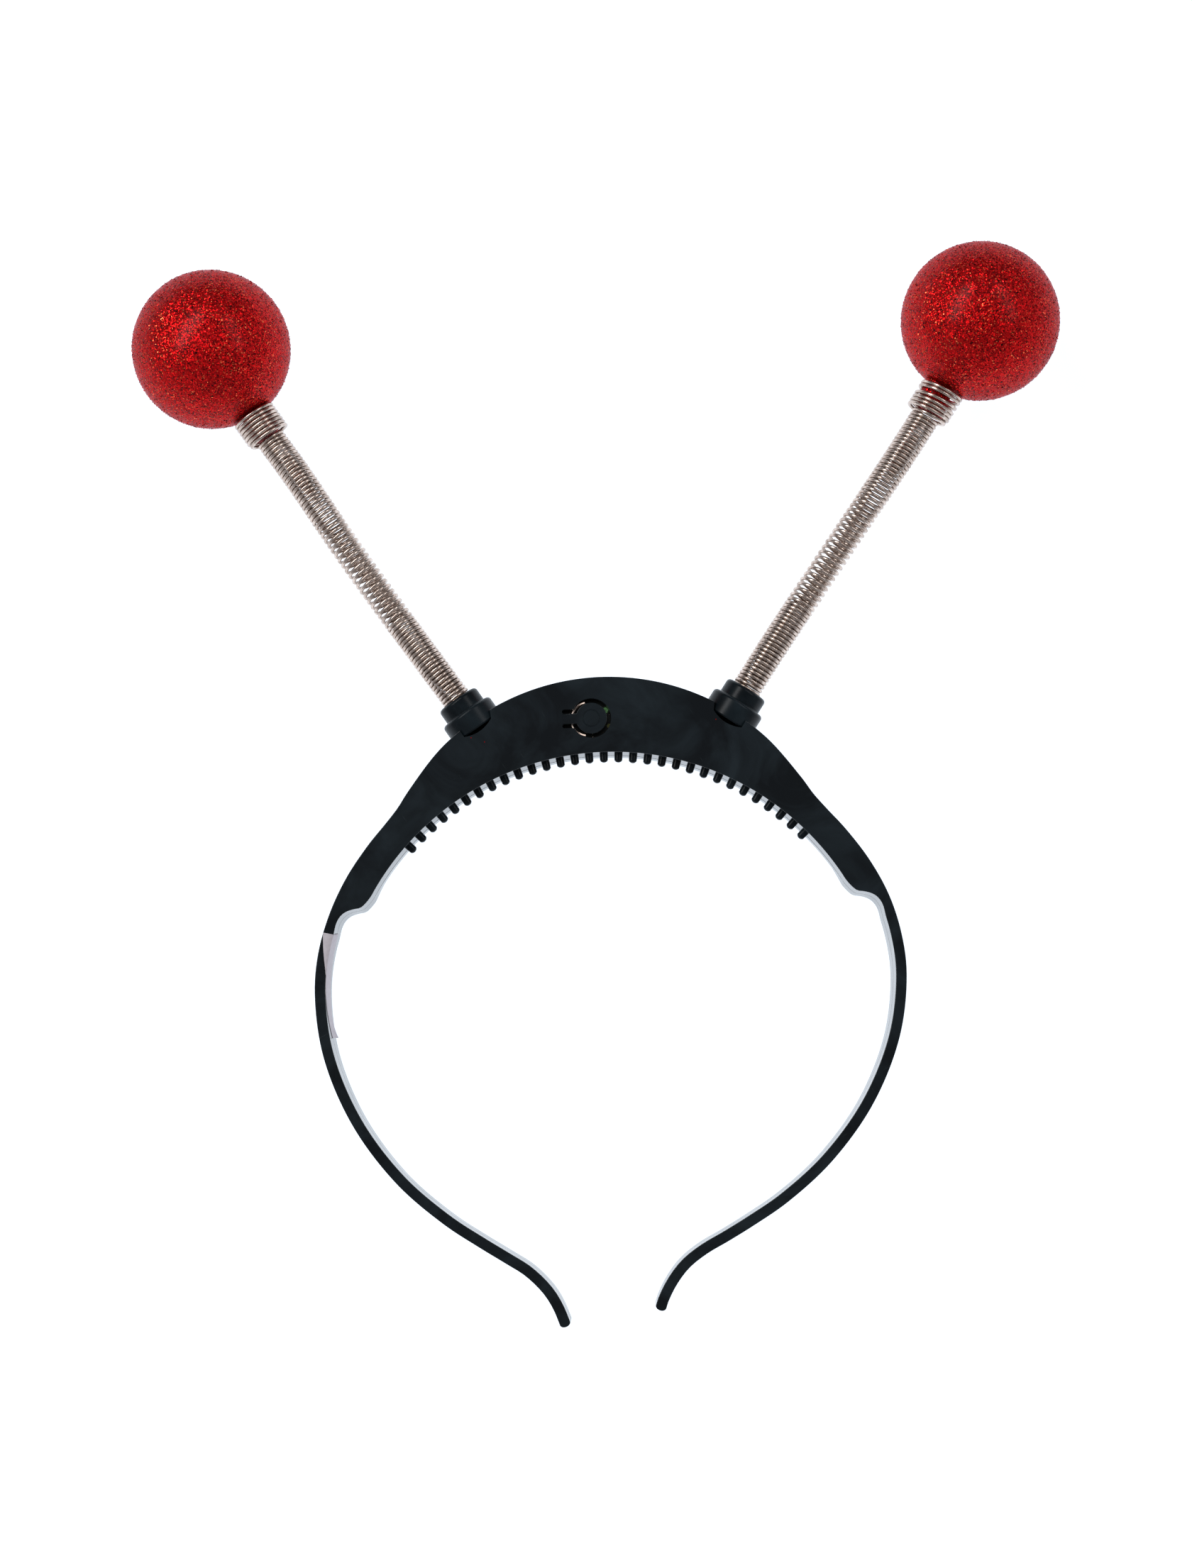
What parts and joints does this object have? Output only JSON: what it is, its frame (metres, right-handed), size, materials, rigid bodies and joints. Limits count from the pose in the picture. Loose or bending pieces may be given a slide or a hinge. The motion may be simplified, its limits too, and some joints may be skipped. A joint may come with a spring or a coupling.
{
  "type": "light-up antenna headband",
  "caption": "Costume headband with glitter balls on swaying coil springs, a hollow crown lined with comb pegs and a push button in its front.",
  "frame": {"origin": "middle of the underside of the box round the whole part, which lies on its back", "axes": "+X across the band to the right arm, +Y from the arms' tips through the crown to the balls, +Z from the band's back to its front"},
  "size_m": [0.2188, 0.2494, 0.037],
  "materials": {
    "black_plastic": "glossy moulded",
    "spring_steel": "bright drawn wire",
    "red_glitter": "glitter coated",
    "green_board": "solder mask",
    "contact_brass": "bright",
    "white_paper": "uncoated paper"
  },
  "bodies": {
    "headband": {"front_shell": "black_plastic", "back_shell": "black_plastic", "circuit_board": "green_board", "switch_contact": "contact_brass", "socket_left": "black_plastic", "socket_right": "black_plastic", "spring_left": "spring_steel", "spring_right": "spring_steel", "paper_label": "white_paper"},
    "button": {"push_button": "black_plastic"},
    "left_antenna": {"ball_left": "red_glitter"},
    "right_antenna": {"ball_right": "red_glitter"}
  },
  "joints": [
    {"name": "button_press", "type": "hinge", "parent": "headband", "child": "button", "pos_m": [-0.01092, 0.01563, 0.01415], "axis": [0, 1, 0], "range_deg": [0, 6], "stiffness_Nm_per_rad": 0.25},
    {"name": "left_sway", "type": "hinge", "parent": "headband", "child": "left_antenna", "pos_m": [-0.05238, 0.04748, 0.01249], "axis": [0, 0, 1], "range_deg": [-25, 25], "stiffness_Nm_per_rad": 0.0077, "deforming": ["spring_left"]},
    {"name": "right_sway", "type": "hinge", "parent": "headband", "child": "right_antenna", "pos_m": [0.05009, 0.04699, 0.01247], "axis": [0, 0, -1], "range_deg": [-25, 25], "stiffness_Nm_per_rad": 0.0077, "deforming": ["spring_right"]}
  ]
}
